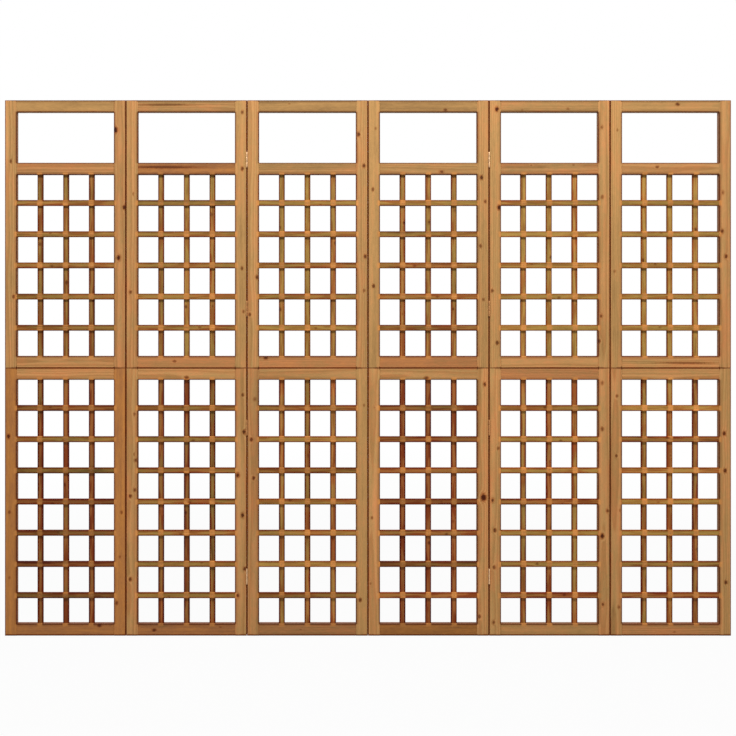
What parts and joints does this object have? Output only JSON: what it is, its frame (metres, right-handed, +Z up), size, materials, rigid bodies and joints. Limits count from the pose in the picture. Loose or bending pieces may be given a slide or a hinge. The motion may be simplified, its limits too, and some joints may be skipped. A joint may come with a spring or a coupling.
{
  "type": "folding trellis screen",
  "caption": "Folding wooden trellis screen of hinged panels, each two stacked frames with an open window and a lattice for climbing plants, standing open in one line.",
  "frame": {"origin": "middle of the screen's foot, on the floor", "axes": "+X along the screen to the right as seen from the front, -Y to the front, +Z up"},
  "size_m": [2.441, 0.03, 1.8],
  "materials": {
    "frame_fir": "satin stain",
    "lattice_fir": "satin stain",
    "hinge_metal": "zinc plated",
    "screw_metal": "zinc plated"
  },
  "bodies": {
    "panel_1": {"panel_1_upper_stiles": "frame_fir", "panel_1_upper_rails": "frame_fir", "panel_1_lower_stiles": "frame_fir", "panel_1_lower_rails": "frame_fir", "panel_1_lattice_uprights": "lattice_fir", "panel_1_lattice_crossbars": "lattice_fir", "panel_1_hinge_leaves": "hinge_metal", "panel_1_hinge_screws": "screw_metal", "panel_1_joining_screws": "screw_metal", "panel_1_hinge_pins": "hinge_metal"},
    "panel_2": {"panel_2_upper_stiles": "frame_fir", "panel_2_upper_rails": "frame_fir", "panel_2_lower_stiles": "frame_fir", "panel_2_lower_rails": "frame_fir", "panel_2_lattice_uprights": "lattice_fir", "panel_2_lattice_crossbars": "lattice_fir", "panel_2_hinge_leaves": "hinge_metal", "panel_2_hinge_screws": "screw_metal", "panel_2_joining_screws": "screw_metal", "panel_2_hinge_pins": "hinge_metal"},
    "panel_3": {"panel_3_upper_stiles": "frame_fir", "panel_3_upper_rails": "frame_fir", "panel_3_lower_stiles": "frame_fir", "panel_3_lower_rails": "frame_fir", "panel_3_lattice_uprights": "lattice_fir", "panel_3_lattice_crossbars": "lattice_fir", "panel_3_hinge_leaves": "hinge_metal", "panel_3_hinge_screws": "screw_metal", "panel_3_joining_screws": "screw_metal", "panel_3_hinge_pins": "hinge_metal"},
    "panel_4": {"panel_4_upper_stiles": "frame_fir", "panel_4_upper_rails": "frame_fir", "panel_4_lower_stiles": "frame_fir", "panel_4_lower_rails": "frame_fir", "panel_4_lattice_uprights": "lattice_fir", "panel_4_lattice_crossbars": "lattice_fir", "panel_4_hinge_leaves": "hinge_metal", "panel_4_hinge_screws": "screw_metal", "panel_4_joining_screws": "screw_metal", "panel_4_hinge_pins": "hinge_metal"},
    "panel_5": {"panel_5_upper_stiles": "frame_fir", "panel_5_upper_rails": "frame_fir", "panel_5_lower_stiles": "frame_fir", "panel_5_lower_rails": "frame_fir", "panel_5_lattice_uprights": "lattice_fir", "panel_5_lattice_crossbars": "lattice_fir", "panel_5_hinge_leaves": "hinge_metal", "panel_5_hinge_screws": "screw_metal", "panel_5_joining_screws": "screw_metal", "panel_5_hinge_pins": "hinge_metal"},
    "panel_6": {"panel_6_upper_stiles": "frame_fir", "panel_6_upper_rails": "frame_fir", "panel_6_lower_stiles": "frame_fir", "panel_6_lower_rails": "frame_fir", "panel_6_lattice_uprights": "lattice_fir", "panel_6_lattice_crossbars": "lattice_fir", "panel_6_hinge_leaves": "hinge_metal", "panel_6_hinge_screws": "screw_metal", "panel_6_joining_screws": "screw_metal"}
  },
  "joints": [
    {"name": "fold_1_2", "type": "hinge", "parent": "panel_1", "child": "panel_2", "pos_m": [-0.814, 0.0125, 0.9], "axis": [0, 0, 1], "range_deg": [0, 180]},
    {"name": "fold_2_3", "type": "hinge", "parent": "panel_2", "child": "panel_3", "pos_m": [-0.407, -0.0125, 0.9], "axis": [0, 0, -1], "range_deg": [0, 180]},
    {"name": "fold_3_4", "type": "hinge", "parent": "panel_3", "child": "panel_4", "pos_m": [0, 0.0125, 0.9], "axis": [0, 0, 1], "range_deg": [0, 180]},
    {"name": "fold_4_5", "type": "hinge", "parent": "panel_4", "child": "panel_5", "pos_m": [0.407, -0.0125, 0.9], "axis": [0, 0, -1], "range_deg": [0, 180]},
    {"name": "fold_5_6", "type": "hinge", "parent": "panel_5", "child": "panel_6", "pos_m": [0.814, 0.0125, 0.9], "axis": [0, 0, 1], "range_deg": [0, 180]}
  ],
  "couplings": [
    {"joint": "fold_2_3", "follows": "fold_1_2", "ratio": 1},
    {"joint": "fold_3_4", "follows": "fold_1_2", "ratio": 1},
    {"joint": "fold_4_5", "follows": "fold_1_2", "ratio": 1},
    {"joint": "fold_5_6", "follows": "fold_1_2", "ratio": 1}
  ]
}
